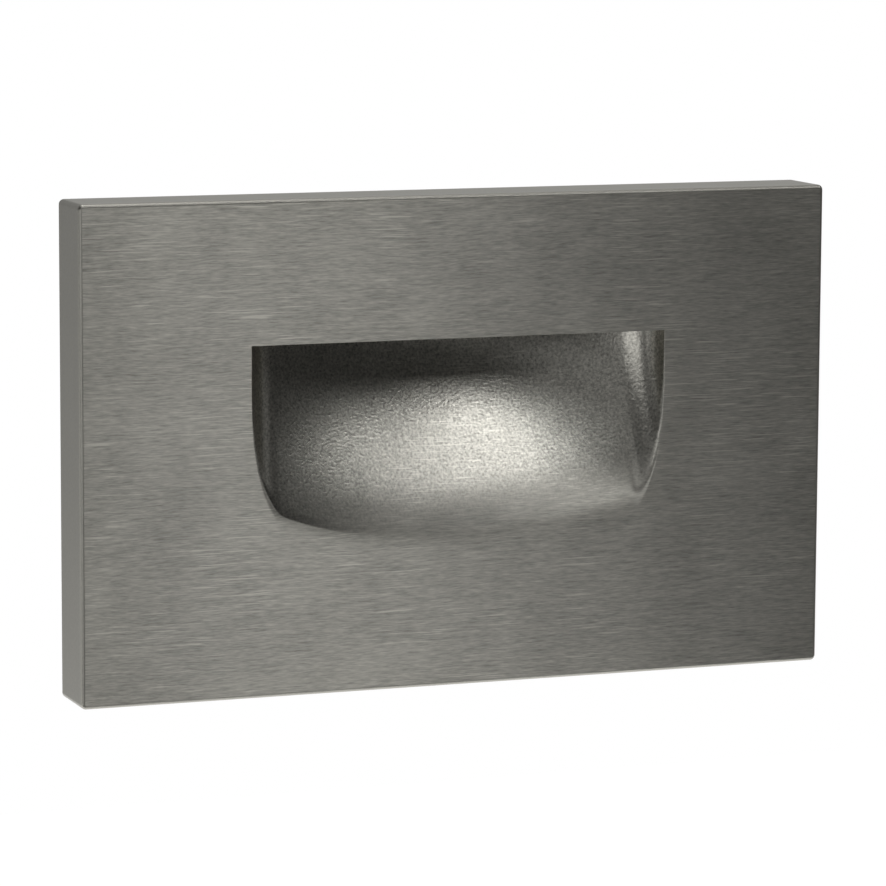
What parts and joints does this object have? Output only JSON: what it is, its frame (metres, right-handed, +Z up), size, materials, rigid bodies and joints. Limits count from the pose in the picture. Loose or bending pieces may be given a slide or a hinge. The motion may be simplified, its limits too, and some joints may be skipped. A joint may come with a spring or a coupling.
{
  "type": "step light",
  "caption": "Recessed wall step light: brushed rectangular faceplate with a scoop recess lit from its ceiling, driver housing behind, bracket for a wall box.",
  "frame": {"origin": "midway between the two screw slots for the wall box, on the wall's surface", "axes": "+X to the viewer's right, +Z up, +Y into the wall; the brushed face looks along -Y"},
  "size_m": [0.127, 0.0538, 0.0794],
  "materials": {
    "brushed_face": "brushed stainless, horizontal grain; sandblasted in the scoop",
    "lens_glass": "clear tempered glass, lightly frosted below",
    "grey_silicone": "soft silicone",
    "black_rubber": "moulded rubber",
    "black_foam": "closed-cell foam",
    "white_plastic": "moulded white reflector",
    "white_board": "metal-core board, white solder mask",
    "led_phosphor": "LED packages, yellow phosphor",
    "thermal_pad": "soft thermal pad",
    "aluminium_sheet": "mill finish sheet",
    "cast_housing": "die-cast, dark powder coat",
    "zinc_screw": "zinc plated",
    "black_screw": "black oxide socket screw",
    "zinc_sheet": "galvanised sheet steel",
    "green_screw": "green grounding screw",
    "brass": "turned brass",
    "gland_nylon": "black nylon",
    "green_board": "glass-fibre board, green solder mask",
    "insulator_film": "milky polyester film",
    "ferrite": "ferrite",
    "yellow_tape": "yellow polyester tape over copper",
    "capacitor_sleeve": "shrink sleeve on an aluminium can",
    "film_yellow": "moulded film capacitor case",
    "black_epoxy": "moulded epoxy",
    "fuse_case": "moulded fuse case",
    "resistor_body": "lacquered resistor",
    "terminal_green": "moulded terminal block",
    "connector_white": "moulded nylon connector",
    "lead_red": "silicone insulation",
    "lead_black": "silicone insulation"
  },
  "bodies": {
    "wall_mount": {"mounting_bracket": "zinc_sheet", "ground_washer": "zinc_screw", "ground_screw": "green_screw"},
    "fixture": {"faceplate": "brushed_face", "lens": "lens_glass", "lens_gasket": "grey_silicone", "reflector_frame": "white_plastic", "led_board": "white_board", "led_packages": "led_phosphor", "led_socket": "connector_white", "thermal_pad": "thermal_pad", "heat_spreader": "aluminium_sheet", "spreader_screws": "zinc_screw", "rear_housing": "cast_housing", "housing_gasket": "black_rubber", "housing_screws": "zinc_screw", "cover_gasket": "black_rubber", "rear_cover": "cast_housing", "cover_screws": "zinc_screw", "gland_body": "gland_nylon", "gland_o_ring": "black_rubber", "gland_locknut": "gland_nylon", "gland_seal": "grey_silicone", "gland_nut": "gland_nylon", "driver_board": "green_board", "board_standoffs": "brass", "board_screws": "zinc_screw", "insulator_sheet": "insulator_film", "transformer_core": "ferrite", "transformer_winding": "yellow_tape", "bulk_capacitor": "capacitor_sleeve", "output_capacitor": "capacitor_sleeve", "inductor": "black_epoxy", "fuse": "fuse_case", "film_capacitor": "film_yellow", "bridge_rectifier": "black_epoxy", "driver_chip": "black_epoxy", "led_connector": "connector_white", "resistors": "resistor_body", "terminal_block": "terminal_green", "terminal_screws": "zinc_screw", "led_lead_red": "lead_red", "led_lead_black": "lead_black", "wall_gasket": "black_foam"},
    "lock_screw_left": {"lock_screw_left": "black_screw"},
    "lock_screw_right": {"lock_screw_right": "black_screw"}
  },
  "joints": [
    {"name": "fixture_pull", "type": "slide", "parent": "wall_mount", "child": "fixture", "axis": [0, -1, 0], "range_m": [0, 0.045]},
    {"name": "lock_screw_left_undo", "type": "slide", "parent": "fixture", "child": "lock_screw_left", "axis": [0, 0, -1], "range_m": [0, 0.003]},
    {"name": "lock_screw_right_undo", "type": "slide", "parent": "fixture", "child": "lock_screw_right", "axis": [0, 0, -1], "range_m": [0, 0.003]}
  ]
}
